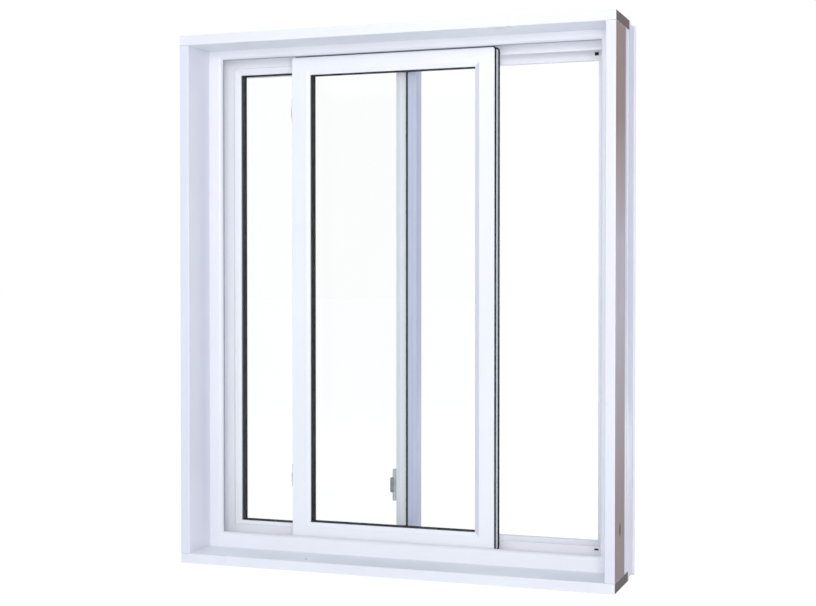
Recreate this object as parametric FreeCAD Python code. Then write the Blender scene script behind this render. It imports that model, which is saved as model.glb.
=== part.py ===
import FreeCAD, Part
import os
from collections import namedtuple

# A horizontal sliding window as it leaves the factory: a white PVC frame set in a box of wrapped timber
# boards, with a fixed lite on the left in the outer track and a sash on the room side that slides past it.
# Millimetres. X runs along the width, Y from the room to the outside and Z up.
# The origin lies under the middle of the window, on the surface that the window stands on.

# Overall size
window_width = 860.0
window_height = 1030.0

# Jamb boards: timber cores with a thin white wrap on the room edge and the inner face
board_thickness = 19.0
wrap_thickness = 1.0
side_board_depth = 87.0
long_board_lap = 33.0

# Frame section, along the depth
lip_thickness = 10.0
lip_round = 8.0
rib_thickness = 6.0
flange_thickness = 11.0

# Frame section, across the depth: walls behind the boards, then heights above the channel floors
frame_wall = 5.0
sill_wall = 12.0
lip_height_side = 22.0
lip_height_head = 12.0
lip_height_sill = 17.5
rib_height = 24.0
rib_height_sill = 26.5
flange_height_side = 44.0
flange_height_fixed = 24.0
flange_height_head = 38.0
flange_height_sill = 30.5

# Dark seal on the flat of the lip's edge, along the head and the left jamb
lip_seal_height = 2.0

# Outside of the frame: a groove for cladding in the side jambs, and a shallow recess all round
groove_setback = 13.0
groove_width = 13.0
groove_depth = 9.0
recess_setback = 43.0
recess_width = 50.0
recess_depth = 3.0

# Glazing, the same in both lites
bead_width = 9.0
bead_depth = 8.0
bead_edge = 5.5
glass_thickness = 3.0
glass_cavity = 11.0
glass_edge_gap = 2.5
leg_thickness = 5.0

# Fixed lite
fixed_face_width = 28.0
fixed_bottom_face = 24.5
meeting_face_width = 32.5
fixed_reach = 8.5
interlock_width = 15.0
interlock_height = 4.0
interlock_cheek = 2.0
cheek_setback = 2.0
meeting_seal_width = 4.0
meeting_seal_height = 5.0

# Keeper against the edge of the meeting stile's bead, a little below the lower latch
keeper_drop = 15.0
keeper_length = 62.0
keeper_width = 6.0
keeper_rise = 3.0
keeper_glass_gap = 0.5
knob_length = 30.0
knob_width = 10.0
knob_depth = 6.5
knob_reach = 5.0
knob_round = 3.0

# Sliding sash
running_gap = 5.0
sash_head_gap = 13.5
sash_sill_gap = 11.0
sash_jamb_gap = 12.5
meeting_lap = 30.5
stands_open = 215.0
sash_stile_face = 29.5
sash_top_face = 26.0
sash_bottom_face = 25.0
sash_corner_round = 5.0
sash_edge_round = 1.5

# Seals round the sash's top, lock and bottom edges
seal_thickness = 3.0
seal_height = 2.5
front_seal_setback = 1.0
rear_seal_setback = 0.5

# Rollers, track and top guides
track_width = 5.0
track_height = 4.0
roller_radius = 11.0
roller_width = 6.0
roller_rise = 0.3
roller_end_distance = 70.0
roller_pocket_gap = 1.5
axle_radius = 2.0
axle_bite = 4.0
axle_gap = 0.1
guide_length = 50.0
guide_width = 12.0
guide_end_distance = 30.0
guide_gap = 5.5

# Latches on the sash's left edge, from the sash's bottom and top
lower_latch_distance = 126.0
upper_latch_distance = 102.5
latch_length = 44.0
latch_width = 12.0
latch_setback = 8.0
latch_plate = 1.8
lever_length = 26.0
lever_width = 10.0
lever_height = 3.5

# Places along the depth, from the room to the outside
lite_thickness = bead_depth + 2 * glass_thickness + glass_cavity + leg_thickness
sash_channel = lite_thickness + 2 * running_gap
window_depth = (side_board_depth + lip_thickness + sash_channel + rib_thickness
                + lite_thickness + flange_thickness)
room_y = -window_depth / 2
lip_y = room_y + side_board_depth
channel_y = lip_y + lip_thickness
sash_y = channel_y + running_gap
rib_y = channel_y + sash_channel
fixed_y = rib_y + rib_thickness
flange_y = fixed_y + lite_thickness
outside_y = flange_y + flange_thickness

# An upright rectangle in the window's plane
Rect = namedtuple("Rect", "left right bottom top")


def shrink(rect, left, right, bottom, top):
    return Rect(rect.left + left, rect.right - right, rect.bottom + bottom, rect.top - top)


def inset(rect, sides, bottom, top):
    return shrink(rect, sides, sides, bottom, top)


def slab(rect, y_start, y_end):
    size_x = rect.right - rect.left
    size_z = rect.top - rect.bottom
    corner = FreeCAD.Vector(rect.left, y_start, rect.bottom)
    return Part.makeBox(size_x, y_end - y_start, size_z, corner)


def ring(outer, inner, y_start, y_end):
    return slab(outer, y_start, y_end).cut(slab(inner, y_start, y_end))


def outline(points, y):
    corners = [FreeCAD.Vector(x, y, z) for x, z in points]
    return Part.makePolygon(corners + corners[:1])


def rect_outline(rect, y):
    return outline([(rect.left, rect.bottom), (rect.right, rect.bottom),
                    (rect.right, rect.top), (rect.left, rect.top)], y)


def rounded_slab(rect, y_start, y_end, radius):
    block = slab(rect, y_start, y_end)
    corners = [edge for edge in block.Edges if edge.BoundBox.YLength > (y_end - y_start) / 2]
    return block.makeFillet(radius, corners)


# Cuts a ring into its four bars, with mitres from the outer rectangle's corners to the inner one's
def mitred_bars(shape, outer, inner, y_start, y_end):
    outer_corners = {"bl": (outer.left, outer.bottom), "br": (outer.right, outer.bottom),
                     "tl": (outer.left, outer.top), "tr": (outer.right, outer.top)}
    inner_corners = {"bl": (inner.left, inner.bottom), "br": (inner.right, inner.bottom),
                     "tl": (inner.left, inner.top), "tr": (inner.right, inner.top)}
    ends = {"left": ("bl", "tl"), "right": ("br", "tr"), "bottom": ("bl", "br"), "top": ("tl", "tr")}
    bars = {}
    for side, (first, last) in ends.items():
        points = [outer_corners[first], outer_corners[last], inner_corners[last], inner_corners[first]]
        wedge = Part.Face(outline(points, y_start)).extrude(FreeCAD.Vector(0, y_end - y_start, 0))
        bars[side] = shape.common(wedge).removeSplitter()
    return bars


nodes = {}
window = Rect(-window_width / 2, window_width / 2, 0, window_height)
room_opening = inset(window, board_thickness, board_thickness, board_thickness)


# Timber boards. The head and sill boards run the full width and lap over the frame, and the side boards
# stand between them. Each wrap is an angle over the room edge and the inner face.
def add_board(name, rect, depth, inner_side):
    core_sides = {side: wrap_thickness if side == inner_side else 0 for side in Rect._fields}
    core_rect = shrink(rect, core_sides["left"], core_sides["right"], core_sides["bottom"], core_sides["top"])
    board = slab(rect, room_y, room_y + depth)
    core = slab(core_rect, room_y + wrap_thickness, room_y + depth)
    nodes[name + "_board"] = core
    nodes[name + "_board_wrap"] = board.cut(core)
    return board


long_board_depth = side_board_depth + long_board_lap
head_board = add_board("head", window._replace(bottom=room_opening.top), long_board_depth, "bottom")
sill_board = add_board("sill", window._replace(top=room_opening.bottom), long_board_depth, "top")
side_posts = room_opening._replace(left=window.left, right=window.right)
add_board("left", side_posts._replace(right=room_opening.left), side_board_depth, "right")
add_board("right", side_posts._replace(left=room_opening.right), side_board_depth, "left")


# PVC frame: one stepped section all round, mitred and welded at the corners. Its flange is lower at the left,
# where the fixed lite closes the opening.
def step(side_height, head_height, sill_height):
    return inset(channel_floor, side_height, sill_height, head_height)


channel_floor = inset(room_opening, frame_wall, sill_wall, frame_wall)
lip_opening = step(lip_height_side, lip_height_head, lip_height_sill)
rib_opening = step(rib_height, rib_height, rib_height_sill)
clear_opening = step(flange_height_side, flange_height_head, flange_height_sill)
clear_opening = clear_opening._replace(left=channel_floor.left + flange_height_fixed)

lip = ring(window, lip_opening, lip_y, channel_y)
lip_edges = []
for edge in lip.Edges:
    box = edge.BoundBox
    on_room_face = box.YMax < lip_y + lip_thickness / 2
    on_opening = box.XLength < lip_opening.right - lip_opening.left + 1 and box.XMax < lip_opening.right + 1
    on_opening = on_opening and box.XMin > lip_opening.left - 1
    if on_room_face and on_opening:
        lip_edges.append(edge)
lip = lip.makeFillet(lip_round, lip_edges)

frame = lip.fuse([ring(window, channel_floor, channel_y, rib_y),
                  ring(window, rib_opening, rib_y, fixed_y),
                  ring(window, channel_floor, fixed_y, flange_y),
                  ring(window, clear_opening, flange_y, outside_y)])
groove_y = lip_y + groove_setback
recess_y = lip_y + recess_setback
frame = frame.cut([head_board, sill_board,
                   ring(side_posts, inset(side_posts, groove_depth, 0, 0), groove_y, groove_y + groove_width),
                   ring(window, inset(window, recess_depth, recess_depth, recess_depth),
                        recess_y, recess_y + recess_width)]).removeSplitter()
frame_names = {"left": "frame_left_jamb", "right": "frame_right_jamb",
               "bottom": "frame_sill", "top": "frame_head"}
for side, bar in mitred_bars(frame, window, clear_opening, lip_y, outside_y).items():
    nodes[frame_names[side]] = bar

lip_seal_opening = shrink(lip_opening, lip_seal_height, 0, 0, lip_seal_height)
nodes["frame_lip_seal"] = ring(lip_opening, lip_seal_opening, lip_y + lip_round, channel_y)


# A glazed lite: four mitred bars with a rebate, bevelled beads on the room side, and a sealed glass unit
def add_lite(name, rect, face, y, corner_round, edge_round):
    back_y = y + lite_thickness
    leg_y = back_y - leg_thickness
    glass_y = y + bead_depth
    sight = inset(face, bead_width, bead_width, bead_width)
    glass = inset(face, glass_edge_gap, glass_edge_gap, glass_edge_gap)
    body = rounded_slab(rect, y, back_y, corner_round)
    front_edges = [edge for edge in body.Edges if edge.BoundBox.YMax < y + edge_round]
    body = body.makeFillet(edge_round, front_edges)
    body = body.cut([slab(face, y, leg_y), slab(sight, leg_y, back_y)])
    bar_names = {"left": "left_stile", "right": "right_stile", "bottom": "bottom_rail", "top": "top_rail"}
    for side, bar in mitred_bars(body, rect, sight, y, back_y).items():
        nodes[name + "_" + bar_names[side]] = bar
    bevel = Part.makeLoft([rect_outline(face, y), rect_outline(sight, glass_y - bead_edge)], True, True)
    beads = ring(face, sight, y, glass_y).cut(bevel)
    for side, bead in mitred_bars(beads, face, sight, y, glass_y).items():
        nodes[name + "_" + side + "_bead"] = bead
    cavity_y = glass_y + glass_thickness
    nodes[name + "_room_pane"] = slab(glass, glass_y, cavity_y)
    nodes[name + "_outer_pane"] = slab(glass, leg_y - glass_thickness, leg_y)
    nodes[name + "_spacer"] = ring(glass, sight, cavity_y, cavity_y + glass_cavity)


# Fixed lite, held in the outer track between the rib and the flange
fixed = channel_floor._replace(right=fixed_reach)
fixed_face = shrink(fixed, fixed_face_width, meeting_face_width, fixed_bottom_face, fixed_face_width)
add_lite("fixed", fixed, fixed_face, fixed_y, sash_edge_round, sash_edge_round)

# Interlock round the room face and free edge of the meeting stile, and a black seal beside it, both between
# the head and sill ribs
meeting_strip = rib_opening._replace(left=fixed.right - interlock_width, right=fixed.right)
cheek_strip = meeting_strip._replace(left=fixed.right, right=fixed.right + interlock_cheek)
cheek = slab(cheek_strip, fixed_y - interlock_height, flange_y - cheek_setback)
nodes["meeting_interlock"] = slab(meeting_strip, fixed_y - interlock_height, fixed_y).fuse(
    cheek).removeSplitter()
seal_strip = meeting_strip._replace(left=meeting_strip.left - meeting_seal_width, right=meeting_strip.left)
nodes["meeting_seal"] = slab(seal_strip, fixed_y - meeting_seal_height, fixed_y)

# Sliding sash, shown part open. Closed, it laps the meeting stile and enters the right jamb.
closed_right = channel_floor.right - sash_jamb_gap
closed_left = fixed.right - meeting_lap
sash = Rect(closed_left - stands_open, closed_right - stands_open,
            channel_floor.bottom + sash_sill_gap, channel_floor.top - sash_head_gap)
sash_face = inset(sash, sash_stile_face, sash_bottom_face, sash_top_face)
sash_back_y = sash_y + lite_thickness
add_lite("sash", sash, sash_face, sash_y, sash_corner_round, sash_edge_round)

# Seals: black strips standing on the sash's top, right and bottom edges, bent round the corners
sealed = shrink(sash, sash_corner_round, -seal_height, -seal_height, -seal_height)
for name, y in (("sash_front_seal", sash_y + front_seal_setback + sash_edge_round),
                ("sash_rear_seal", sash_back_y - rear_seal_setback - seal_thickness)):
    strip = rounded_slab(sealed, y, y + seal_thickness, sash_corner_round + seal_height)
    nodes[name] = strip.cut(rounded_slab(sash, y, y + seal_thickness, sash_corner_round))

# Track and rollers under the sash. Each roller turns on stub axles in a pocket of the bottom rail.
middle_y = sash_y + lite_thickness / 2
track = channel_floor._replace(top=channel_floor.bottom + track_height)
nodes["roller_track"] = slab(track, middle_y - track_width / 2, middle_y + track_width / 2)
roller_z = track.top + roller_rise + roller_radius
along_y = FreeCAD.Vector(0, 1, 0)


def drum(radius, width, x):
    return Part.makeCylinder(radius, width, FreeCAD.Vector(x, middle_y - width / 2, roller_z), along_y)


pocket_width = roller_width + 2 * roller_pocket_gap
pocket_reach = roller_radius + roller_pocket_gap
axle_length = pocket_width + 2 * axle_bite
rollers = []
rail_cuts = []
for x in (sash.left + roller_end_distance, sash.right - roller_end_distance):
    rollers.append(drum(roller_radius, roller_width, x).fuse(drum(axle_radius, axle_length, x)))
    pocket = Rect(x - pocket_reach, x + pocket_reach, sash.bottom, roller_z + pocket_reach)
    rail_cuts.append(slab(pocket, middle_y - pocket_width / 2, middle_y + pocket_width / 2))
    rail_cuts.append(drum(axle_radius + axle_gap, axle_length + 2 * axle_gap, x))
nodes["sash_rollers"] = Part.makeCompound(rollers)
nodes["sash_bottom_rail"] = nodes["sash_bottom_rail"].cut(rail_cuts)

# Guide blocks on the top rail, which keep the sash upright in the head channel
guides = []
for left in (sash.left + guide_end_distance, sash.right - guide_end_distance - guide_length):
    block = Rect(left, left + guide_length, sash.top, channel_floor.top - guide_gap)
    guides.append(slab(block, middle_y - guide_width / 2, middle_y + guide_width / 2))
nodes["sash_top_guides"] = Part.makeCompound(guides)

# Latches on the sash's left edge: a plate with a lever on its lower part
lower_latch_z = sash.bottom + lower_latch_distance
upper_latch_z = sash.top - upper_latch_distance
latch_y = sash_y + latch_setback
latches = []
for z in (lower_latch_z, upper_latch_z):
    plate = Rect(sash.left - latch_plate, sash.left, z - latch_length / 2, z + latch_length / 2)
    lever = Rect(sash.left - lever_height, sash.left, plate.bottom, plate.bottom + lever_length)
    latches.append(slab(plate, latch_y - latch_width / 2, latch_y + latch_width / 2).fuse(
        slab(lever, latch_y - lever_width / 2, latch_y + lever_width / 2)).removeSplitter())
nodes["sash_latches"] = Part.makeCompound(latches)

# Keeper: an upright bar screwed to the edge of the meeting stile's bead, with a knob over the glass
keeper_x = fixed_face.right - bead_width
keeper_z = lower_latch_z - keeper_drop
keeper = Rect(keeper_x - keeper_width, keeper_x,
              keeper_z - keeper_length / 2, keeper_z + keeper_length / 2)
knob_left = keeper.left - knob_reach
knob = Rect(knob_left, knob_left + knob_width,
            keeper_z - knob_length / 2, keeper_z + knob_length / 2)
keeper_y = fixed_y - keeper_rise
keeper_back_y = fixed_y + bead_depth - keeper_glass_gap
knob_y = fixed_y - keeper_rise / 2 - knob_depth / 2
nodes["latch_keeper"] = slab(keeper, keeper_y, keeper_back_y).fuse(
    rounded_slab(knob, knob_y, knob_y + knob_depth, knob_round)).removeSplitter()

os.makedirs("parts", exist_ok=True)
for name, shape in nodes.items():
    shape.exportStep("parts/" + name + ".step")
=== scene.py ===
import math
import random

import bmesh
import bpy
from mathutils import Matrix, Vector


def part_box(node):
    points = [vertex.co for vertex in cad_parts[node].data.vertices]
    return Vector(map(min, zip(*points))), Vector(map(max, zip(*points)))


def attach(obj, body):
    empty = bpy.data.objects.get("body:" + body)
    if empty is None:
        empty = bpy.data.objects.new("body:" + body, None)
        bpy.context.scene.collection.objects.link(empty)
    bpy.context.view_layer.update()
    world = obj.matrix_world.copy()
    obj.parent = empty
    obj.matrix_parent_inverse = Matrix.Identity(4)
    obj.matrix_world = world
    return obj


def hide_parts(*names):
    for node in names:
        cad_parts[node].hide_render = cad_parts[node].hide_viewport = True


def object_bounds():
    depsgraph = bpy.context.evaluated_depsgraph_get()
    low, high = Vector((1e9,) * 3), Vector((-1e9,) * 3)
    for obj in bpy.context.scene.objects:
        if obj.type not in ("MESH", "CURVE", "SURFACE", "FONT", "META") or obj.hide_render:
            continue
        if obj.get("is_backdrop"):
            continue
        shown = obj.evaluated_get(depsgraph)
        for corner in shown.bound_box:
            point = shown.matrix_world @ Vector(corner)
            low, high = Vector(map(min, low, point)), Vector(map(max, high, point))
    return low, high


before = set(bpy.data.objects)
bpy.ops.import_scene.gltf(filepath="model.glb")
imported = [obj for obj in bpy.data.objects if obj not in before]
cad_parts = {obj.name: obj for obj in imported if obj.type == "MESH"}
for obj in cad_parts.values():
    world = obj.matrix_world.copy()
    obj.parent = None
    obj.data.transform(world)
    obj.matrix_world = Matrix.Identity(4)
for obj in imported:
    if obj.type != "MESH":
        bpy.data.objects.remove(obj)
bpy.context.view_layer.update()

# Timber boards
# Four planed softwood boards are butted into a jamb box, with the head and sill boards running through.
# Their bare outer faces, rear edges and end grain run from brown low down to pale grey and tan higher up, in
# blotches. One has a knot.
board_arris = 0.0008
ring_spacing = 0.006
ring_draw = 0.06  # how far the rings and the fibres are drawn out along the board
fibre_draw = 0.012
end_grain_shade = 0.5
timber_tones = {"early": (204, 194, 192), "late": (166, 150, 146), "pale_grey": (234, 224, 233),
                "brown": (166, 147, 140), "tan": (177, 146, 130), "knot": (92, 74, 70)}
knot_place = Vector((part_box("right_board")[1].x, -0.047, 0.108))
knot_reach = Vector((0.012, 0.009, 0.013))
weld_distance = 1e-6
flat_angle = math.radians(0.5)
square_on = 0.9  # cosine from which a face counts as facing a direction


def srgb(red, green, blue):
    """A colour written as it looks on screen, turned into the linear values that a shader takes."""
    parts = [channel / 255 for channel in (red, green, blue)]
    return [part / 12.92 if part <= 0.04045 else ((part + 0.055) / 1.055) ** 2.4 for part in parts] + [1.0]


def welded_copy(node):
    """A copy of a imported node's mesh as one closed shell, with its flat triangles joined."""
    shape = bmesh.new()
    shape.from_mesh(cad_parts[node].data)
    bmesh.ops.remove_doubles(shape, verts=shape.verts, dist=weld_distance)
    bmesh.ops.dissolve_limit(shape, angle_limit=flat_angle, verts=shape.verts, edges=shape.edges)
    return shape


def ease_edges(shape, radius, segments=2, least_angle=40):
    """Rounds the sharp edges of a shape."""
    sharp = [edge for edge in shape.edges
             if edge.is_manifold and edge.calc_face_angle() > math.radians(least_angle)]
    bmesh.ops.bevel(shape, geom=sharp, offset=radius, segments=segments, profile=0.5,
                    affect="EDGES", material=-1, clamp_overlap=True)


def make_piece(name, shape, materials, body, slot, *replaced):
    """Turns a shape into a piece of the window that rides on a body."""
    mesh = bpy.data.meshes.new(name)
    shape.to_mesh(mesh)
    shape.free()
    mesh.shade_smooth()
    for material in materials:
        mesh.materials.append(material)
    piece = bpy.data.objects.new(name, mesh)
    bpy.context.scene.collection.objects.link(piece)
    shading = piece.modifiers.new("even_shading", "WEIGHTED_NORMAL")
    shading.keep_sharp = True
    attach(piece, body)
    if replaced:
        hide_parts(*replaced)
    return piece


def start_material(name):
    """A new material, with its node tree and its main shader."""
    material = bpy.data.materials.new(name)
    material.use_nodes = True
    tree = material.node_tree
    return material, tree, tree.nodes["Principled BSDF"]


def add_node(tree, kind, inputs, **settings):
    """A node with its settings made and its inputs set to values or linked to other nodes' outputs."""
    made = tree.nodes.new(kind)
    for key, value in settings.items():
        setattr(made, key, value)
    set_inputs(tree, made, inputs)
    return made


def set_inputs(tree, made, inputs):
    """Sets a node's inputs to values, or links them to other nodes' outputs."""
    for socket, value in inputs.items():
        if isinstance(value, bpy.types.NodeSocket):
            tree.links.new(value, made.inputs[socket])
        else:
            made.inputs[socket].default_value = value


def place_on_object(tree, scale=(1, 1, 1), turn=(0, 0, 0), shift=(0, 0, 0)):
    """A point's place on its piece, scaled, turned and shifted for a pattern."""
    coordinates = add_node(tree, "ShaderNodeTexCoord", {})
    mapping = add_node(tree, "ShaderNodeMapping", {"Vector": coordinates.outputs["Object"], "Scale": scale,
                                                   "Rotation": turn, "Location": shift})
    return mapping.outputs["Vector"]


def vector_math(tree, operation, *vectors):
    """One step of arithmetic on vectors. LENGTH gives a plain value, the others give a vector."""
    made = add_node(tree, "ShaderNodeVectorMath", dict(enumerate(vectors)), operation=operation)
    return made.outputs["Value" if operation == "LENGTH" else "Vector"]


def noise(tree, vector, scale, detail=3.0, roughness=0.5):
    """A soft random pattern of values round 0.5."""
    made = add_node(tree, "ShaderNodeTexNoise", {"Vector": vector, "Scale": scale, "Detail": detail,
                                                 "Roughness": roughness})
    return made.outputs["Fac"]


def ramp(tree, factor, *stops):
    """A colour ramp from pairs of position and colour."""
    made = add_node(tree, "ShaderNodeValToRGB", {"Fac": factor})
    elements = made.color_ramp.elements
    while len(elements) < len(stops):
        elements.new(1.0)
    for element, (position, colour) in zip(elements, stops):
        element.position = position
        element.color = colour
    return made.outputs["Color"]


def spread(tree, value, low_in, high_in, low_out, high_out):
    """Maps a value from one range to another."""
    made = add_node(tree, "ShaderNodeMapRange", {"Value": value, "From Min": low_in, "From Max": high_in,
                                                 "To Min": low_out, "To Max": high_out})
    return made.outputs["Result"]


def mix(tree, factor, first, second, blend="MIX"):
    """Two colours or values mixed by a factor."""
    made = add_node(tree, "ShaderNodeMixRGB", {"Fac": factor, "Color1": first, "Color2": second},
                    blend_type=blend)
    return made.outputs["Color"]


def bump(tree, height, strength, distance):
    """Fine relief that is too small for the mesh."""
    made = add_node(tree, "ShaderNodeBump", {"Height": height, "Strength": strength, "Distance": distance})
    return made.outputs["Normal"]


def bare_timber(name, turn, shift, shade=1.0):
    """Solid softwood: growth rings about a pith line beside the board, fibres along it and a blotchy tone that
    changes with height.
    """
    material, tree, shader = start_material(name)
    across = place_on_object(tree, (1, 1, 1), turn, shift)
    drawn_out = vector_math(tree, "MULTIPLY", across, (1, 1, ring_draw))
    rings = add_node(tree, "ShaderNodeTexWave",
                     {"Vector": drawn_out, "Scale": math.pi / 10 / ring_spacing,
                      "Distortion": 5.0, "Detail": 2.0, "Detail Scale": 0.7},
                     wave_type="RINGS", rings_direction="Z").outputs["Fac"]
    fibres = noise(tree, vector_math(tree, "MULTIPLY", across, (1, 1, fibre_draw)), 900, 4)
    blotches = noise(tree, drawn_out, 22, 4)
    height = add_node(tree, "ShaderNodeSeparateXYZ", {"Vector": place_on_object(tree)}).outputs["Z"]
    tone = {key: srgb(*colour) for key, colour in timber_tones.items()}
    grain = ramp(tree, rings, (0.0, tone["early"]), (0.55, tone["early"]), (0.95, tone["late"]))
    tone_by_height = ramp(tree, height, (0.0, tone["brown"]), (0.14, tone["brown"]), (0.5, tone["pale_grey"]),
                   (0.62, tone["pale_grey"]), (0.85, tone["tan"]))
    colour = mix(tree, spread(tree, blotches, 0.3, 0.7, 0.45, 0.85), grain, tone_by_height)
    colour = mix(tree, spread(tree, fibres, 0.3, 0.7, 0.0, 0.3), colour, tone["late"], "MULTIPLY")
    from_knot = vector_math(tree, "SUBTRACT", place_on_object(tree), knot_place)
    knot_share = vector_math(tree, "LENGTH", vector_math(tree, "DIVIDE", from_knot, knot_reach))
    colour = mix(tree, spread(tree, knot_share, 0.6, 1.1, 0.8, 0.0), colour, tone["knot"])
    colour = mix(tree, 1.0, colour, (shade, shade, shade, 1), "MULTIPLY")
    relief = mix(tree, 0.5, rings, fibres)
    set_inputs(tree, shader, {"Base Color": colour, "Roughness": spread(tree, fibres, 0.2, 0.8, 0.62, 0.86),
                              "Normal": bump(tree, relief, 0.35, 0.0006)})
    return material


quarter_turn = math.pi / 2
board_cuts = {
    "head_board": ((0, quarter_turn, 0), (-1.0, 0.20, 0)),
    "sill_board": ((0, quarter_turn, 0), (0.02, 0.24, 0)),
    "left_board": ((0, 0, 0), (0.39, 0.22, 0)),
    "right_board": ((0, 0, 0), (-0.40, 0.18, 0)),
}
for node, (turn, shift) in board_cuts.items():
    shape = welded_copy(node)
    ease_edges(shape, board_arris)
    for face in shape.faces:
        sawn_end = abs(face.normal.x) > square_on and node in ("head_board", "sill_board")
        face.material_index = 1 if sawn_end else 0
    long_grain = bare_timber(node + "_softwood", turn, shift)
    end_grain = bare_timber(node + "_end_grain", turn, shift, end_grain_shade)
    make_piece(node + "_timber", shape, [long_grain, end_grain], "frame", "bare_timber", node)

# Board wraps
# A smooth white foil-faced strip is folded over each board's room edge and inner face and glued down. The
# fold is slightly round, and the strips butt at the corners. The left and right strips are painted a
# darker, bluer white as painted shade.
wrap_thickness = 0.001
fold_radius = 0.0022
wrap_white = (245, 247, 252)
# painted shade: the left and right boards' foil is a darker, bluer white than the others
left_wrap_painted_shade = (239, 240, 250)
right_wrap_painted_shade = (236, 237, 247)
cloud_step = 5  # how much darker the clouds and the marks on a white surface are
mark_step = 24


def darker(tone, step):
    """A tone with each of its parts taken down by one step."""
    return srgb(*[part - step for part in tone])


def only_verts(geometry):
    """The vertices among what an operator gives back."""
    return [part for part in geometry if isinstance(part, bmesh.types.BMVert)]


def white_foil(name, white):
    """Smooth white foil, a little uneven in tone and gloss."""
    material, tree, shader = start_material(name)
    place = place_on_object(tree)
    clouds = noise(tree, place, 4, 3)
    peel = noise(tree, place, 900, 2)
    scuffs = noise(tree, place_on_object(tree, (1, 1, 1), (0.3, 0.5, 0.1)), 45, 6, 0.65)
    colour = mix(tree, spread(tree, clouds, 0.3, 0.7, 0.0, 1.0), srgb(*white), darker(white, cloud_step))
    colour = mix(tree, spread(tree, scuffs, 0.62, 0.8, 0.0, 0.06), colour, darker(white, mark_step))
    set_inputs(tree, shader, {"Base Color": colour, "Roughness": spread(tree, clouds, 0.3, 0.7, 0.26, 0.36),
                              "Normal": bump(tree, peel, 0.06, 0.0002)})
    return material


def folded_strip(fold_start, fold_end, over_edge, over_face):
    """A strip folded along a line, with one leaf over the board's edge and one over its face."""
    shape = bmesh.new()
    fold = shape.edges.new([shape.verts.new(fold_start), shape.verts.new(fold_end)])
    for reach in (over_edge, over_face):
        leaf = bmesh.ops.extrude_edge_only(shape, edges=[fold])["geom"]
        bmesh.ops.translate(shape, verts=only_verts(leaf), vec=reach)
    bmesh.ops.bevel(shape, geom=[fold], offset=fold_radius, segments=4, profile=0.5,
                    affect="EDGES", material=-1)
    bmesh.ops.recalc_face_normals(shape, faces=shape.faces)
    inward = over_edge.normalized() + over_face.normalized()
    fold_middle = fold_start.lerp(fold_end, 0.5)
    at_fold = min(shape.faces, key=lambda face: (face.calc_center_median() - fold_middle).length)
    if at_fold.normal.dot(inward) > 0:
        bmesh.ops.reverse_faces(shape, faces=shape.faces)
    bmesh.ops.solidify(shape, geom=shape.faces, thickness=wrap_thickness)
    return shape


foil = white_foil("white_foil", wrap_white)
painted_shade_foils = {"left": white_foil("left_foil_painted_shade", left_wrap_painted_shade), "right": white_foil("right_foil_painted_shade", right_wrap_painted_shade)}
for side in ("head", "sill", "left", "right"):
    node = side + "_board_wrap"
    low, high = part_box(node)
    back = Vector((0, high.y - low.y, 0))
    if side in ("head", "sill"):
        fold_z = low.z if side == "head" else high.z
        edge = Vector((0, 0, low.z + high.z - 2 * fold_z))
        shape = folded_strip(Vector((low.x, low.y, fold_z)), Vector((high.x, low.y, fold_z)), edge, back)
    else:
        fold_x = high.x if side == "left" else low.x
        edge = Vector((low.x + high.x - 2 * fold_x, 0, 0))
        shape = folded_strip(Vector((fold_x, low.y, low.z)), Vector((fold_x, low.y, high.z)), edge, back)
    make_piece(side + "_board_foil", shape, [painted_shade_foils.get(side, foil)], "frame", "white_wrap", node)

# Frame members
# Extruded white PVC, one stepped section for lip, sash channel, rib, outer track and flange, cut to mitres
# and welded at the corners. The weld shows as a fine line, and the faces carry faint lines from the die. The
# outward side faces are painted a lavender white as painted shade.
frame_easing = 0.0006
frame_white = (247, 248, 252)
# painted shade: lavender white for the frame's outward side faces
side_painted_shade_lavender = (248, 243, 255)
outer_side = 0.4
lines_across = 520
lines_along = 4


def white_pvc(name, along, white):
    """White PVC with die lines along one axis, a little uneven in tone and gloss, with a few marks."""
    material, tree, shader = start_material(name)
    streaks = [lines_along if axis == along else lines_across for axis in "XYZ"]
    lines = noise(tree, place_on_object(tree, streaks), 1.0, 2)
    clouds = noise(tree, place_on_object(tree), 5, 4)
    marks = noise(tree, place_on_object(tree, (1, 1, 1), (0.4, 0.2, 0.7)), 60, 6, 0.7)
    colour = mix(tree, spread(tree, clouds, 0.3, 0.7, 0.0, 1.0), srgb(*white), darker(white, cloud_step))
    colour = mix(tree, spread(tree, marks, 0.64, 0.82, 0.0, 0.4), colour, darker(white, mark_step))
    gloss = mix(tree, 0.4, lines, marks)
    set_inputs(tree, shader, {"Base Color": colour, "Roughness": spread(tree, gloss, 0.3, 0.7, 0.26, 0.42),
                              "Normal": bump(tree, lines, 0.08, 0.0002)})
    return material


level_pvc = white_pvc("frame_pvc_level", "X", frame_white)
upright_pvc = white_pvc("frame_pvc_upright", "Z", frame_white)
side_pvc_painted_shade = white_pvc("frame_pvc_side_painted_shade", "Z", side_painted_shade_lavender)
for node in ("frame_head", "frame_sill", "frame_left_jamb", "frame_right_jamb"):
    shape = welded_copy(node)
    ease_edges(shape, frame_easing)
    # painted shade: the outward side faces take the lavender white
    for face in shape.faces:
        place_x = face.calc_center_median().x
        faces_out = face.normal.x * math.copysign(1, place_x) > square_on
        face.material_index = 1 if abs(place_x) > outer_side and faces_out else 0
    pvc = upright_pvc if node.endswith("jamb") else level_pvc
    make_piece(node + "_profile", shape, [pvc, side_pvc_painted_shade], "frame", "frame_pvc", node)

# Lip seal
# A thin grey strip of soft extruded rubber along the lip's edge, on the head and the left jamb, pushed into
# a groove in the lip. The sash has pressed its edge back a little.
strip_height = 0.002
strip_sag = 0.0008
strip_easing = 0.0004
strip_grey = (150, 156, 172)
strip_worn = (168, 174, 188)
same_place = 1e-5


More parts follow.
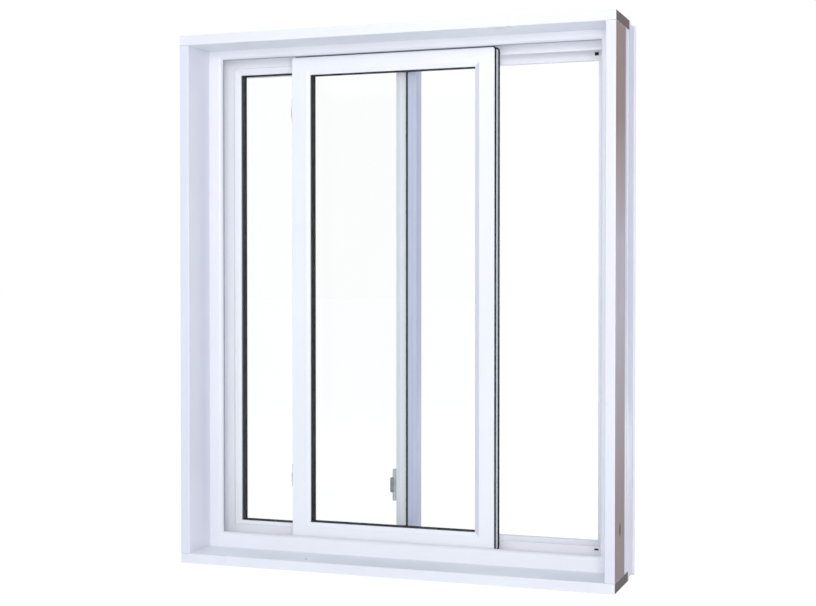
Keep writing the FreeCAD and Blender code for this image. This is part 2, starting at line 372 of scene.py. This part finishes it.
def soft_rubber(name, tone, worn):
    """Matt rubber with worn and dusty patches."""
    material, tree, shader = start_material(name)
    place = place_on_object(tree)
    dust = noise(tree, place, 120, 5, 0.7)
    grain = noise(tree, place, 2500, 2)
    colour = mix(tree, spread(tree, dust, 0.45, 0.8, 0.0, 0.5), srgb(*tone), srgb(*worn))
    set_inputs(tree, shader, {"Base Color": colour, "Roughness": spread(tree, dust, 0.3, 0.7, 0.55, 0.8),
                              "Normal": bump(tree, grain, 0.2, 0.0002)})
    return material


lip_rubber = soft_rubber("lip_rubber", strip_grey, strip_worn)
lip_seal = welded_copy("frame_lip_seal")
low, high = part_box("frame_lip_seal")
edge_x, edge_z = low.x + strip_height, high.z - strip_height
upright_edge = [vert for vert in lip_seal.verts if abs(vert.co.x - edge_x) < same_place]
level_edge = [vert for vert in lip_seal.verts if abs(vert.co.z - edge_z) < same_place]
bmesh.ops.translate(lip_seal, verts=upright_edge, vec=(-strip_sag, 0, 0))
bmesh.ops.translate(lip_seal, verts=level_edge, vec=(0, 0, strip_sag))
ease_edges(lip_seal, strip_easing)
make_piece("frame_lip_strip", lip_seal, [lip_rubber], "frame", "grey_seal", "frame_lip_seal")

# Roller track
# A mill-finish aluminium rail that stands in the sill's sash channel and carries the rollers. It is extruded
# with a flat foot and a round top, and pressed into the channel floor.
track_foot_height = 0.0012
track_neck_width = 0.0026
crown_share = 0.9
aluminium_grey = (212, 214, 217)
aluminium_stain = (176, 178, 182)


def drawn_bar(outline, along):
    """A bar of one section: a face through the outline's points, drawn out along a straight line."""
    shape = bmesh.new()
    section = shape.faces.new([shape.verts.new(point) for point in outline])
    drawn = bmesh.ops.extrude_face_region(shape, geom=[section])["geom"]
    bmesh.ops.translate(shape, verts=only_verts(drawn), vec=along)
    bmesh.ops.recalc_face_normals(shape, faces=shape.faces)
    return shape


def mill_aluminium():
    """Bare extruded aluminium with fine die lines and dull stains."""
    material, tree, shader = start_material("mill_aluminium")
    die_lines = noise(tree, place_on_object(tree, (14, 1800, 1800)), 1.0, 3)
    stains = noise(tree, place_on_object(tree), 30, 5, 0.65)
    clean, stained = srgb(*aluminium_grey), srgb(*aluminium_stain)
    colour = mix(tree, spread(tree, stains, 0.4, 0.75, 0.0, 0.7), clean, stained)
    set_inputs(tree, shader, {"Base Color": colour, "Metallic": 1.0,
                              "Roughness": spread(tree, die_lines, 0.3, 0.7, 0.28, 0.48),
                              "Normal": bump(tree, die_lines, 0.15, 0.0002)})
    return material


low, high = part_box("roller_track")
middle = (low.y + high.y) / 2
neck = track_neck_width / 2
foot_top = low.z + track_foot_height
track_half = [(high.y, low.z), (high.y, foot_top), (middle + neck, foot_top), (middle + neck, high.z)]
track_outline = track_half + [(2 * middle - y, z) for y, z in reversed(track_half)]
track = drawn_bar([(low.x, y, z) for y, z in track_outline], (high.x - low.x, 0, 0))
top_edges = [edge for edge in track.edges if min(vert.co.z for vert in edge.verts) > high.z - weld_distance]
crown = [edge for edge in top_edges if edge.calc_length() > 2 * track_neck_width]
bmesh.ops.bevel(track, geom=crown, offset=neck * crown_share, segments=4, profile=0.5,
                affect="EDGES", material=-1)
make_piece("roller_rail", track, [mill_aluminium()], "frame", "track_aluminium", "roller_track")

# Fixed lite
# Four mitred and welded PVC bars hold a sealed unit of two panes on a black spacer. It stands on black
# glazing tape at the rebate's back, with a black outside gasket. Snap-in beads with a soft grey edge hold it.
# The beads' grey edges and the spacer are painted lighter at the room side and darker inward as painted shade.
bar_easing = 0.0006
bead_easing = 0.0004
bead_least_angle = 25
lite_white = (247, 249, 253)
# painted shade: a darker lavender white for the sash's right bead
bead_painted_shade_white = (224, 223, 234)
# painted shade: the bead edges fade from the light grey to the dark grey over this depth
bead_edge_depth = 0.0055
bead_edge_light = (205, 207, 213)
bead_edge_dark = (110, 112, 118)
room_gasket_width = 0.0008
room_gasket_rise = 0.0008
room_gasket_easing = 0.0003
outside_gasket_thickness = 0.0004
outside_gasket_bite = 0.002
outside_gasket_easing = 0.0002
tape_press = 0.0002
tape_black = (10, 10, 12)
tape_worn = (22, 23, 25)
# painted shade: the spacer fades from this grey at the room side to black at the back
spacer_grey = (56, 57, 62)
spacer_black = (8, 8, 10)
glass_tint = (0.998, 1.0, 0.999, 1)
glass_film = (0.993, 0.999, 0.996, 1)
glass_sheen = (0.2, 0.2, 0.2, 1)
glass_passes = (0.95, 0.955, 0.955, 1)


def clear_glass():
    """Float glass with a faint uneven tint. Lamps and scattered light pass straight through it."""
    material, tree, shader = start_material("float_glass")
    film = noise(tree, place_on_object(tree, (1, 1, 0.3)), 8, 5, 0.6)
    tint = mix(tree, spread(tree, film, 0.3, 0.7, 0.0, 1.0), glass_tint, glass_film)
    set_inputs(tree, shader, {"Base Color": tint, "Roughness": 0.0, "IOR": 1.5, "Transmission Weight": 1.0,
                              "Specular Tint": glass_sheen})
    path = add_node(tree, "ShaderNodeLightPath", {}).outputs
    passing = add_node(tree, "ShaderNodeMath", {0: path["Is Shadow Ray"], 1: path["Is Diffuse Ray"]},
                       operation="MAXIMUM")
    clear = add_node(tree, "ShaderNodeBsdfTransparent", {"Color": glass_passes})
    pane = add_node(tree, "ShaderNodeMixShader", {0: passing.outputs[0], 1: shader.outputs[0],
                                                  2: clear.outputs[0]})
    set_inputs(tree, tree.nodes["Material Output"], {"Surface": pane.outputs[0]})
    return material


def rubber_with_painted_depth_shade(name, front, back, light, dark):
    """Soft rubber or foam with dark pores, painted lighter at the room side and darker towards the outside as
    painted shade.
    """
    material, tree, shader = start_material(name)
    depth = add_node(tree, "ShaderNodeSeparateXYZ", {"Vector": place_on_object(tree)}).outputs["Y"]
    pores = noise(tree, place_on_object(tree), 1400, 3)
    fade = spread(tree, depth, front, back, 0.0, 1.0)
    colour = ramp(tree, fade, (0.0, srgb(*light)), (1.0, srgb(*dark)))
    colour = mix(tree, spread(tree, pores, 0.35, 0.7, 0.0, 0.35), colour, srgb(*dark))
    set_inputs(tree, shader, {"Base Color": colour, "Roughness": spread(tree, pores, 0.3, 0.7, 0.65, 0.9),
                              "Normal": bump(tree, pores, 0.25, 0.0003)})
    return material


def upright_ring(low, high, width, y_start, y_end):
    """A ring just inside an upright rectangle, drawn out along the depth."""
    shape = bmesh.new()
    corners = [(low.x, low.z), (high.x, low.z), (high.x, high.z), (low.x, high.z)]
    pane = shape.faces.new([shape.verts.new((x, y_start, z)) for x, z in corners])
    pane.normal_update()
    bmesh.ops.inset_region(shape, faces=[pane], thickness=width, use_boundary=True, use_even_offset=True)
    bmesh.ops.delete(shape, geom=[pane], context="FACES_ONLY")
    drawn = bmesh.ops.extrude_face_region(shape, geom=shape.faces[:])["geom"]
    bmesh.ops.translate(shape, verts=only_verts(drawn), vec=(0, y_end - y_start, 0))
    bmesh.ops.recalc_face_normals(shape, faces=shape.faces)
    return shape


glass = clear_glass()
glazing_tape = soft_rubber("glazing_tape", tape_black, tape_worn)
bar_finish = {"stile": white_pvc("lite_pvc_upright", "Z", lite_white),
              "rail": white_pvc("lite_pvc_level", "X", lite_white),
              "painted_shade_bead": white_pvc("bead_pvc_painted_shade", "Z", bead_painted_shade_white)}


def dress_lite(lite, body):
    """Finishes one glazed lite: bars, beads, gaskets, spacer and panes."""
    glass_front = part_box(lite + "_room_pane")[0].y
    glass_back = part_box(lite + "_outer_pane")[1].y
    sight_low = Vector((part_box(lite + "_left_bead")[1].x, 0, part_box(lite + "_bottom_bead")[1].z))
    sight_high = Vector((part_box(lite + "_right_bead")[0].x, 0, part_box(lite + "_top_bead")[0].z))
    for bar in ("left_stile", "right_stile", "top_rail", "bottom_rail"):
        node = lite + "_" + bar
        shape = welded_copy(node)
        ease_edges(shape, bar_easing)
        for face in shape.faces:
            behind_glass = abs(face.calc_center_median().y - glass_back) < same_place
            face.material_index = 1 if behind_glass and face.normal.y < -square_on else 0
        finish = bar_finish[bar.split("_")[1]]
        make_piece(node + "_bar", shape, [finish, glazing_tape], body, "lite_pvc", node)
    inward = {"left": Vector((1, 0, 0)), "right": Vector((-1, 0, 0)),
              "top": Vector((0, 0, -1)), "bottom": Vector((0, 0, 1))}
    edge_rubber = rubber_with_painted_depth_shade(lite + "_bead_edge_rubber", glass_front - bead_edge_depth, glass_front,
                                bead_edge_light, bead_edge_dark)
    for side, towards_glass in inward.items():
        node = lite + "_" + side + "_bead"
        shape = welded_copy(node)
        ease_edges(shape, bead_easing, least_angle=bead_least_angle)
        for face in shape.faces:
            face.material_index = 1 if face.normal.dot(towards_glass) > square_on else 0
        finish = bar_finish["stile" if side in ("left", "right") else "rail"]
        # painted shade: the sash's right bead takes the darker lavender white
        if (lite, side) == ("sash", "right"):
            finish = bar_finish["painted_shade_bead"]
        make_piece(lite + "_" + side + "_snap_bead", shape, [finish, edge_rubber], body, "lite_pvc", node)
    gasket = upright_ring(sight_low, sight_high, room_gasket_width,
                          glass_front - room_gasket_rise, glass_front)
    ease_edges(gasket, room_gasket_easing)
    make_piece(lite + "_room_gasket", gasket, [glazing_tape], body, "grey_seal")
    leg_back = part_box(lite + "_left_stile")[1].y
    bite = Vector((outside_gasket_bite, 0, outside_gasket_bite))
    gasket = upright_ring(sight_low - bite, sight_high + bite, outside_gasket_bite + outside_gasket_thickness,
                          glass_back - tape_press, leg_back)
    ease_edges(gasket, outside_gasket_easing)
    make_piece(lite + "_outside_gasket", gasket, [glazing_tape], body, "black_spacer")
    spacer_low, spacer_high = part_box(lite + "_spacer")
    foam = rubber_with_painted_depth_shade(lite + "_spacer_foam", spacer_low.y, spacer_high.y, spacer_grey, spacer_black)
    for node, finish in (("room_pane", glass), ("outer_pane", glass), ("spacer", foam)):
        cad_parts[lite + "_" + node].material_slots[0].material = finish


dress_lite("fixed", "frame")

# Meeting interlock
# A PVC cover clipped round the room face and free edge of the fixed lite's meeting stile, painted a bluish
# grey as painted shade. It has a raised hooking ridge beside the seal and a sunken flat that turns the corner.
ridge_width = 0.0077
ridge_slope = 0.0012
sunken_depth = 0.0022
corner_chamfer = 0.001
cover_thickness = 0.002
cover_easing = 0.0004
cover_least_angle = 30
# painted shade: the cover is given this bluish grey
interlock_painted_shade = (208, 213, 234)

low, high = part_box("meeting_interlock")
stile_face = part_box("fixed_right_stile")[0].y
ridge_end = low.x + ridge_width
sunken = low.y + sunken_depth
interlock_outline = [
    (low.x, stile_face), (low.x, low.y), (ridge_end, low.y), (ridge_end + ridge_slope, sunken),
    (high.x - corner_chamfer, sunken), (high.x, sunken + corner_chamfer), (high.x, high.y),
    (high.x - cover_thickness, high.y), (high.x - cover_thickness, stile_face)]
interlock = drawn_bar([(x, y, low.z) for x, y in interlock_outline], (0, 0, high.z - low.z))
ease_edges(interlock, cover_easing, least_angle=cover_least_angle)
make_piece("meeting_interlock_cover", interlock, [white_pvc("interlock_pvc", "Z", interlock_painted_shade)], "frame",
           "interlock_pvc", "meeting_interlock")

# Meeting seal
# Black pile weatherstrip beside the interlock, which brushes the sash as it slides. Tufts of polypropylene
# yarn stand on a stiff woven backing, pushed into a slot in the stile.
tuft_pitch = 0.002
tuft_taper = 0.9
tuft_share = 0.95
tuft_shortest = 0.95
tuft_lean = math.radians(4)
backing_thickness = 0.0008
backing_rounding = 0.0002
yarn_black = (11, 11, 14)
yarn_worn = (30, 31, 36)
yarn_lint = (90, 92, 99)
strands = random.Random(5)


def pile_yarn():
    """Matt black yarn with lighter fibre ends and some lint."""
    material, tree, shader = start_material("pile_yarn")
    fibres = noise(tree, place_on_object(tree), 2600, 3)
    lint = noise(tree, place_on_object(tree), 150, 4, 0.65)
    colour = mix(tree, spread(tree, fibres, 0.35, 0.7, 0.0, 0.6), srgb(*yarn_black), srgb(*yarn_worn))
    colour = mix(tree, spread(tree, lint, 0.64, 0.82, 0.0, 0.25), colour, srgb(*yarn_lint))
    set_inputs(tree, shader, {"Base Color": colour, "Roughness": spread(tree, fibres, 0.3, 0.7, 0.7, 0.95),
                              "Normal": bump(tree, fibres, 0.5, 0.0004)})
    return material


def add_tuft(shape, foot, outward, across, width, height):
    """One tuft of pile: a tapered block that stands at foot, points outward and leans a little."""
    along = outward.cross(across)
    stance = Matrix((across, along, outward)).transposed().to_4x4()
    lean = Matrix.Rotation(strands.uniform(-tuft_lean, tuft_lean), 4, "Y")
    tall = height * strands.uniform(tuft_shortest, 1)
    size = Matrix.Diagonal((width / math.sqrt(2), tuft_pitch / math.sqrt(2), tall, 1))
    raise_up = Matrix.Translation((0, 0, 0.5))
    square = Matrix.Rotation(math.pi / 4, 4, "Z")
    bmesh.ops.create_cone(shape, cap_ends=True, segments=4, radius1=1, radius2=tuft_taper, depth=1,
                          matrix=Matrix.Translation(foot) @ stance @ lean @ size @ raise_up @ square)


def add_block(shape, low, high, radius, segments=2):
    """Adds a block between two corners, with its edges rounded."""
    low, high = Vector(low), Vector(high)
    place = Matrix.Translation((low + high) / 2) @ Matrix.Diagonal((*(high - low), 1))
    corners = bmesh.ops.create_cube(shape, size=1, matrix=place)["verts"]
    edges = list({edge for corner in corners for edge in corner.link_edges})
    bmesh.ops.bevel(shape, geom=edges, offset=radius, segments=segments, profile=0.5, affect="EDGES",
                    material=-1, clamp_overlap=True)


yarn = pile_yarn()
low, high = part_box("meeting_seal")
backing = high.y - backing_thickness
pile = bmesh.new()
add_block(pile, (low.x, backing, low.z), high, backing_rounding)
tuft_count = round((high.z - low.z) / tuft_pitch) - 1
for tuft in range(tuft_count):
    foot = Vector(((low.x + high.x) / 2, backing, low.z + (tuft + 1) * tuft_pitch))
    add_tuft(pile, foot, Vector((0, -1, 0)), Vector((1, 0, 0)),
             tuft_share * (high.x - low.x), backing - low.y)
make_piece("meeting_pile", pile, [yarn], "frame", "black_seal", "meeting_seal")

# Latch keeper
# A die-cast grey bar screwed to the edge of the meeting stile's bead. A darker ridged knob on it stands out
# over the glass and catches the lower latch as the sash closes.
keeper_rounding = 0.0012
keeper_bar_width = 0.006
keeper_rise = 0.003
keeper_screw_inset = 0.008
knob_width = 0.010
knob_depth = 0.0065
knob_length = 0.030
knob_rounding = 0.0028
grip_count = 6
grip_rise = 0.0006
grip_depth = 0.002
grip_thickness = 0.0016
grip_side_gap = 0.0012
grip_end_gap = 0.004
grip_rounding = 0.0005
screw_radius = 0.002
screw_rise = 0.0011
screw_crown = 0.7  # shares of the screw's radius, and of its rise for the recess
screw_rim = 0.3
screw_recess = 0.6
keeper_grey = (204, 208, 210)
knob_grey = (150, 155, 158)
stain_step = 46


def cast_metal(name, tone):
    """Satin cast metal with duller stains."""
    material, tree, shader = start_material(name)
    skin = noise(tree, place_on_object(tree), 700, 4, 0.6)
    stains = noise(tree, place_on_object(tree), 90, 5, 0.7)
    colour = mix(tree, spread(tree, stains, 0.4, 0.75, 0.0, 0.8), srgb(*tone), darker(tone, stain_step))
    set_inputs(tree, shader, {"Base Color": colour, "Metallic": 0.35,
                              "Roughness": spread(tree, skin, 0.3, 0.7, 0.35, 0.55),
                              "Normal": bump(tree, skin, 0.2, 0.0002)})
    return material


def add_screw(shape, seat, outward):
    """A low domed screw head with a round drive recess, seated on a face."""
    turn = Vector((0, 0, 1)).rotation_difference(outward).to_matrix().to_4x4()
    place = Matrix.Translation(seat + outward * screw_rise / 2) @ turn
    made = bmesh.ops.create_cone(shape, cap_ends=True, segments=20, radius1=screw_radius,
                                 radius2=screw_radius * screw_crown, depth=screw_rise, matrix=place)["verts"]
    top = max({face for vert in made for face in vert.link_faces},
              key=lambda face: face.calc_center_median().dot(outward))
    bmesh.ops.inset_region(shape, faces=[top], thickness=screw_radius * screw_rim)
    recess = bmesh.ops.extrude_discrete_faces(shape, faces=[top])["faces"][0]
    bmesh.ops.translate(shape, verts=recess.verts[:], vec=outward * -screw_rise * screw_recess)


casting = cast_metal("keeper_casting", keeper_grey)
knob_casting = cast_metal("knob_casting", knob_grey)
low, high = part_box("latch_keeper")
knob_bottom = (low.z + high.z - knob_length) / 2
knob_high = Vector((low.x + knob_width, low.y + knob_depth, knob_bottom + knob_length))
bar_front = stile_face - keeper_rise
keeper = bmesh.new()
add_block(keeper, (high.x - keeper_bar_width, bar_front, low.z), high, keeper_rounding, 3)
bar_faces = set(keeper.faces)
add_block(keeper, (low.x, low.y + grip_rise, knob_bottom), knob_high, knob_rounding, 4)
grip_pitch = (knob_length - 2 * grip_end_gap) / (grip_count - 1)
for grip in range(grip_count):
    grip_bottom = knob_bottom + grip_end_gap + grip * grip_pitch - grip_thickness / 2
    add_block(keeper, (low.x + grip_side_gap, low.y, grip_bottom),
              (knob_high.x - grip_side_gap, low.y + grip_depth, grip_bottom + grip_thickness), grip_rounding)
for face in keeper.faces:
    face.material_index = 0 if face in bar_faces else 1
for end in (low.z + keeper_screw_inset, high.z - keeper_screw_inset):
    add_screw(keeper, Vector((high.x - keeper_bar_width / 2, bar_front, end)), Vector((0, -1, 0)))
make_piece("latch_keeper_casting", keeper, [casting, knob_casting], "frame", "grey_hardware", "latch_keeper")

# Dust pads
# Two small black felt blocks glued in the frame near the right jamb, one at the head and one at the sill.
# They stop draughts where the pile ends.
pad_thickness = 0.0018
pad_rounding = 0.0006
sash_channel_depth = 0.04
head_pad_drop = 0.053
sill_pad_rise = 0.0505
right_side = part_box("right_board")[1].x
pads = {  # width and height, gap to the window's right side, height of the foot, depth of the seat
    "head": (0.0073, 0.006, 0.0682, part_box("head_board")[1].z - head_pad_drop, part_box("fixed_top_rail")[1].y),
    "sill": (0.008, 0.003, 0.0585, sill_pad_rise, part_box("frame_lip_seal")[1].y + sash_channel_depth),
}
for place, (width, height, gap, foot, seat) in pads.items():
    right = right_side - gap
    pad = bmesh.new()
    add_block(pad, (right - width, seat - pad_thickness, foot), (right, seat, foot + height), pad_rounding, 3)
    make_piece(place + "_dust_pad", pad, [yarn], "frame", "black_seal")

# Sash
# The room-side lite is built as the fixed one, with rounder corners, and slides along the track. Its left
# stile takes the latches and its right stile closes into the jamb. Its right bead is painted darker as
# painted shade.
dress_lite("sash", "sash")

# Sash seals
# Two lines of black pile run round the sash's top, right and bottom edges and bend at its corners. They are
# held in slots in the bars, near the room face and near the back.
sash_corner = 0.005


def edge_stations(low, high, radius, pitch):
    """Places and outward directions along the top, round corners, right edge and bottom of a box."""
    inner = Vector((high.x - radius, 0, high.z - radius))
    lower = Vector((high.x - radius, 0, low.z + radius))
    run = math.floor((inner.x - low.x) / pitch)
    drop = math.floor((inner.z - lower.z) / pitch)
    bend = round(radius * math.pi / 2 / pitch)
    up, right, down = Vector((0, 0, 1)), Vector((1, 0, 0)), Vector((0, 0, -1))
    top = [(Vector((inner.x - (step + 0.5) * pitch, 0, high.z)), up) for step in range(run)]
    side = [(Vector((high.x, 0, inner.z - (step + 0.5) * pitch)), right) for step in range(drop)]
    bottom = [(Vector((inner.x - (step + 0.5) * pitch, 0, low.z)), down) for step in range(run)]
    corners = []
    for centre, start in ((inner, up), (lower, right)):
        for step in range(bend):
            outward = Matrix.Rotation((step + 0.5) / bend * math.pi / 2, 3, "Y") @ start
            corners.append((centre + outward * radius, outward))
    return top + corners + side + bottom


sash_low = Vector((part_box("sash_left_stile")[0].x + sash_corner, 0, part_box("sash_bottom_rail")[0].z))
sash_high = Vector((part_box("sash_right_stile")[1].x, 0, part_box("sash_top_rail")[1].z))
for line in ("front", "rear"):
    node = "sash_" + line + "_seal"
    low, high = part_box(node)
    pile = bmesh.new()
    middle = Vector((0, (low.y + high.y) / 2, 0))
    for place, outward in edge_stations(sash_low, sash_high, sash_corner, tuft_pitch):
        add_tuft(pile, place + middle, outward, Vector((0, 1, 0)), high.y - low.y, high.x - sash_high.x)
    make_piece("sash_" + line + "_pile", pile, [yarn], "sash", "black_seal", node)

# Rollers and top guides
# Two nylon wheels turn on steel pins in pockets of the bottom rail and run on the track. Two nylon blocks on
# the top rail keep the sash upright in the head channel.
roller_steps = 40
pin_radius = 0.002
hub_radius = 0.005
rim_start = 0.0092
wheel_half = 0.003  # half the wheel's width at its hub and rim, and at the web between them
web_half = 0.0021
web_slope = 0.0006
tread_rise = 0.0006
tread_taper = 0.0007
guide_length = 0.05
guide_rounding = 0.0015
rib_count = 4
rib_start = 0.005
rib_pitch = 0.012
rib_width = 0.004
rib_depth = 0.0008
rib_drop = 0.002
rib_rounding = 0.0006
nylon_tone = (216, 215, 208)
nylon_flow = (196, 195, 186)


def moulded_nylon():
    """Off-white nylon with faint flow marks."""
    material, tree, shader = start_material("moulded_nylon")
    flow = noise(tree, place_on_object(tree), 160, 5, 0.6)
    grain = noise(tree, place_on_object(tree), 1600, 2)
    colour = mix(tree, spread(tree, flow, 0.35, 0.7, 0.0, 1.0), srgb(*nylon_tone), srgb(*nylon_flow))
    set_inputs(tree, shader, {"Base Color": colour, "Roughness": spread(tree, flow, 0.3, 0.7, 0.4, 0.6),
                              "Normal": bump(tree, grain, 0.15, 0.0002)})
    return material


nylon = moulded_nylon()
low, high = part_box("sash_rollers")
radius = (high.z - low.z) / 2
pin_reach = (high.y - low.y) / 2
axle = (low.z + high.z) / 2
half_wheel = [(0, pin_reach), (pin_radius, pin_reach), (pin_radius, wheel_half), (hub_radius, wheel_half),
              (hub_radius + web_slope, web_half), (rim_start - web_slope, web_half), (rim_start, wheel_half),
              (radius - tread_rise, wheel_half), (radius, wheel_half - tread_taper)]
wheel_section = [(reach, -offset) for reach, offset in half_wheel] + list(reversed(half_wheel))
wheels = bmesh.new()
for centre_x in (low.x + radius, high.x - radius):
    centre = Vector((centre_x, (low.y + high.y) / 2, axle))
    rim = [wheels.verts.new(centre + Vector((reach, offset, 0))) for reach, offset in wheel_section]
    section = [wheels.edges.new(pair) for pair in zip(rim, rim[1:])]
    bmesh.ops.spin(wheels, geom=rim + section, cent=centre, axis=(0, 1, 0), angle=2 * math.pi,
                   steps=roller_steps, use_merge=True)
bmesh.ops.remove_doubles(wheels, verts=wheels.verts, dist=weld_distance)
bmesh.ops.recalc_face_normals(wheels, faces=wheels.faces)
make_piece("sash_wheels", wheels, [nylon], "sash", "nylon", "sash_rollers")

low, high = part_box("sash_top_guides")
guides = bmesh.new()
for left in (low.x, high.x - guide_length):
    add_block(guides, (left, low.y + rib_depth, low.z), (left + guide_length, high.y - rib_depth, high.z),
              guide_rounding, 3)
    for rib in range(rib_count):
        rib_left = left + rib_start + rib * rib_pitch
        add_block(guides, (rib_left, low.y, low.z), (rib_left + rib_width, high.y, high.z - rib_drop),
                  rib_rounding)
make_piece("sash_guide_blocks", guides, [nylon], "sash", "nylon", "sash_top_guides")

# Sash latches
# Grey moulded latches on the sash's left edge, one low and one high. Each is a plate held by a screw, with a
# finger lever on its lower part that tapers at the foot.
latch_length = 0.044
latch_plate_thickness = 0.0018
latch_rounding = 0.0008
latch_screw_inset = 0.007
lever_length = 0.026
lever_width = 0.010
lever_foot_gap = 0.001
lever_taper = 0.007
lever_rounding = 0.0009
latch_grey = (228, 231, 234)

latch_moulding = cast_metal("latch_moulding", latch_grey)
low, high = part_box("sash_latches")
middle = (low.y + high.y) / 2
plate_x = high.x - latch_plate_thickness
latches = bmesh.new()
for bottom in (low.z, high.z - latch_length):
    top = bottom + latch_length
    add_block(latches, (plate_x, low.y, bottom), (high.x, high.y, top), latch_rounding, 3)
    lever_low = Vector((low.x, middle - lever_width / 2, bottom + lever_foot_gap))
    lever_high = Vector((high.x, middle + lever_width / 2, bottom + lever_length))
    place = Matrix.Translation((lever_low + lever_high) / 2) @ Matrix.Diagonal((*(lever_high - lever_low), 1))
    lever = bmesh.ops.create_cube(latches, size=1, matrix=place)["verts"]
    foot = [vert for vert in lever
            if vert.co.x < low.x + same_place and vert.co.z < lever_low.z + same_place]
    bmesh.ops.translate(latches, verts=foot, vec=(0, 0, lever_taper))
    edges = list({edge for vert in lever for edge in vert.link_edges})
    bmesh.ops.bevel(latches, geom=edges, offset=lever_rounding, segments=3, profile=0.5,
                    affect="EDGES", material=-1)
    add_screw(latches, Vector((plate_x, middle, top - latch_screw_inset)), Vector((-1, 0, 0)))
make_piece("sash_latch_pair", latches, [latch_moulding], "sash", "grey_hardware", "sash_latches")

# Stage
# A plain pale floor and soft light: a large lamp near the camera, a weaker one at the left, one behind the
# window, and even bluish light from all round. The camera stands to the right, at mid height.
floor_size = 30
floor_drop = 0.0005
floor_grey = (250, 250, 251)
floor_glow_share = 0.86
floor_glow = 1.1
sky_tint = (0.80, 0.87, 1.0, 1)
sky_strength = 0.53
plain_white = (1, 1, 1, 1)
lamp_white = (1.0, 0.98, 0.955)
rear_white = (1.0, 0.99, 0.98)
camera_place = (0.947, -2.619, 0.562)
camera_dip = math.radians(1.058)
camera_turn = math.radians(19.687)


def seen_directly(tree):
    """1 for rays from the camera, also through glass, and 0 for reflected and scattered light."""
    path = add_node(tree, "ShaderNodeLightPath", {}).outputs
    seen = add_node(tree, "ShaderNodeMath", {0: path["Is Camera Ray"], 1: path["Is Transmission Ray"]},
                    operation="MAXIMUM")
    return seen.outputs[0]


floor_shape = bmesh.new()
bmesh.ops.create_grid(floor_shape, x_segments=1, y_segments=1, size=floor_size,
                      matrix=Matrix.Translation((0, 0, -floor_drop)))
floor_mesh = bpy.data.meshes.new("studio_floor")
floor_shape.to_mesh(floor_mesh)
floor_shape.free()
floor = bpy.data.objects.new("studio_floor", floor_mesh)
bpy.context.scene.collection.objects.link(floor)
floor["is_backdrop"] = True
floor_paint, tree, shader = start_material("floor_paint")
set_inputs(tree, shader, {"Base Color": srgb(*floor_grey), "Roughness": 0.9, "Specular IOR Level": 0.0})
glow = add_node(tree, "ShaderNodeEmission", {"Color": plain_white, "Strength": floor_glow})
share = add_node(tree, "ShaderNodeMath", {0: seen_directly(tree), 1: floor_glow_share}, operation="MULTIPLY")
blend = add_node(tree, "ShaderNodeMixShader", {0: share.outputs[0], 1: shader.outputs[0], 2: glow.outputs[0]})
set_inputs(tree, tree.nodes["Material Output"], {"Surface": blend.outputs[0]})
floor_mesh.materials.append(floor_paint)

world = bpy.data.worlds.new("studio")
bpy.context.scene.world = world
world.use_nodes = True
tree = world.node_tree
even_light = tree.nodes["Background"]
set_inputs(tree, even_light, {"Color": sky_tint, "Strength": sky_strength})
white_wall = add_node(tree, "ShaderNodeBackground", {"Color": plain_white, "Strength": 1.0})
blend = add_node(tree, "ShaderNodeMixShader", {0: seen_directly(tree), 1: even_light.outputs[0],
                                               2: white_wall.outputs[0]})
set_inputs(tree, tree.nodes["World Output"], {"Surface": blend.outputs[0]})


def add_lamp(name, place, target, size, power, colour, glossy=True):
    """A soft rectangular lamp, not seen itself in the picture or through the glass."""
    lamp = bpy.data.lights.new(name, "AREA")
    lamp.shape = "RECTANGLE"
    lamp.size, lamp.size_y = size
    lamp.energy = power
    lamp.color = colour
    holder = bpy.data.objects.new(name, lamp)
    bpy.context.scene.collection.objects.link(holder)
    holder.visible_camera = False
    holder.visible_transmission = False
    holder.visible_glossy = glossy
    holder.location = place
    holder.rotation_euler = (Vector(target) - Vector(place)).to_track_quat("-Z", "Y").to_euler()


add_lamp("front_lamp", place=(0.95, -2.9, 0.95), target=(0, 0, 0.6), size=(1.4, 1.4), power=39,
         colour=lamp_white)
add_lamp("left_lamp", place=(-0.6, -2.4, 1.7), target=(0, 0, 0.5), size=(1.2, 1.0), power=7,
         colour=lamp_white)
add_lamp("rear_lamp", place=(0.8, 2.6, 0.9), target=(0, 0, 0.5), size=(1.6, 1.9), power=40,
         colour=rear_white, glossy=False)

camera = bpy.data.cameras.new("camera")
camera.sensor_width = 36
camera.lens = 64.11
stand = bpy.data.objects.new("camera", camera)
bpy.context.scene.collection.objects.link(stand)
stand.location = camera_place
stand.rotation_euler = (math.pi / 2 - camera_dip, 0, camera_turn)
bpy.context.scene.camera = stand
bpy.context.scene.view_settings.view_transform = "Standard"

low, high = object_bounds()
